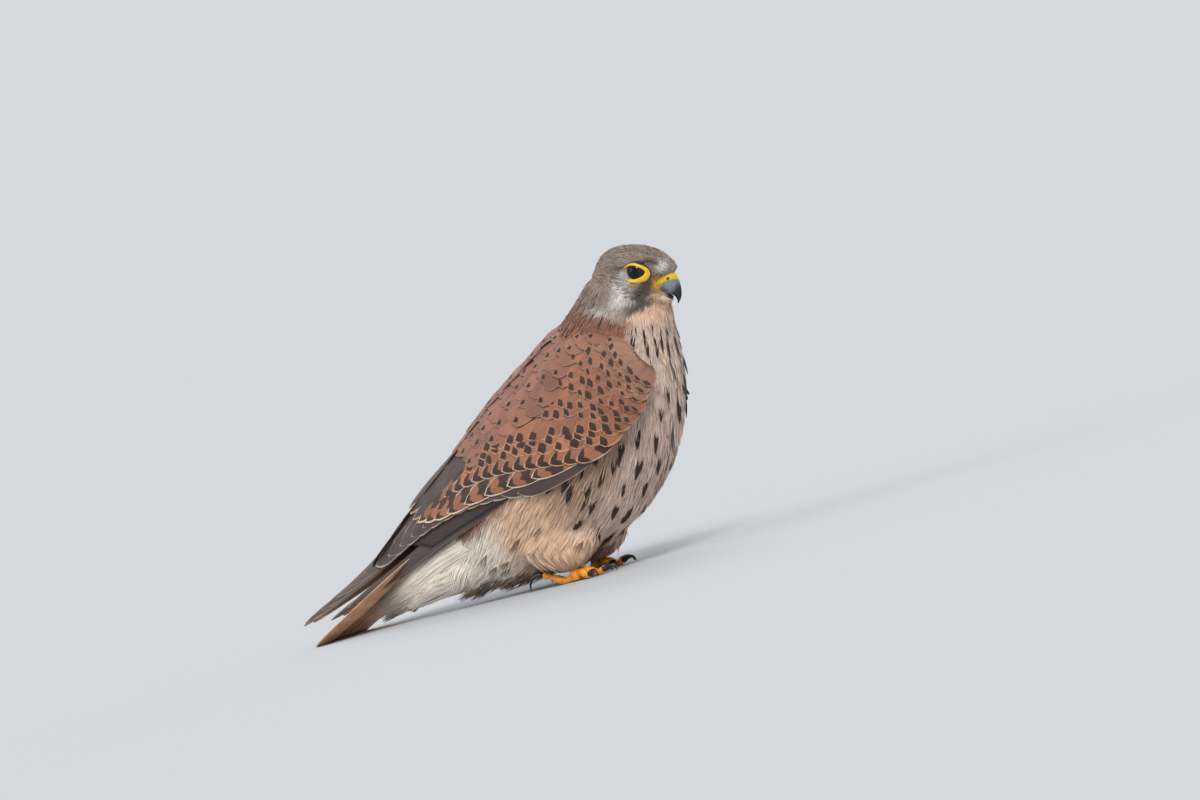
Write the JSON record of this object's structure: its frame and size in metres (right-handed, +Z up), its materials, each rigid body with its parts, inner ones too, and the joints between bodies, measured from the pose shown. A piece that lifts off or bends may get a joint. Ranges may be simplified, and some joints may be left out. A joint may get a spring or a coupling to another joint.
{
  "type": "common kestrel",
  "caption": "Small falcon standing upright with folded wings, a hooked bill, spotted feathers and a long tail that reaches the floor.",
  "frame": {"origin": "on the floor, under the middle of the bird's bounding box", "axes": "+X the way the bird faces, along its length; +Y to the bird's left; +Z up"},
  "size_m": [0.2664, 0.081, 0.1587],
  "materials": {
    "breast_feathers": "matt, fine feathers",
    "neck_feathers": "matt, fine feathers",
    "head_feathers": "matt, short feathers",
    "wing_feathers": "matt, smooth vanes",
    "tail_feathers": "matt, smooth vanes",
    "thigh_feathers": "matt, loose feathers",
    "bill_horn": "satin horn",
    "leg_skin": "scaly skin",
    "claw_horn": "polished horn",
    "eye_ball": "wet gloss"
  },
  "bodies": {
    "root": {"bill_lower": "bill_horn", "bill_upper": "bill_horn", "claw_hind_left": "claw_horn", "claw_hind_right": "claw_horn", "claw_inner_left": "claw_horn", "claw_inner_right": "claw_horn", "claw_middle_left": "claw_horn", "claw_middle_right": "claw_horn", "claw_outer_left": "claw_horn", "claw_outer_right": "claw_horn", "eye_left": "eye_ball", "eye_right": "eye_ball", "foot_left": "leg_skin", "foot_right": "leg_skin", "head": "head_feathers", "leg_left": "leg_skin", "leg_right": "leg_skin", "neck": "neck_feathers", "tail": "tail_feathers", "thigh_left": "thigh_feathers", "thigh_right": "thigh_feathers", "torso": "breast_feathers", "wing_left": "wing_feathers", "wing_right": "wing_feathers"}
  },
  "joints": []
}
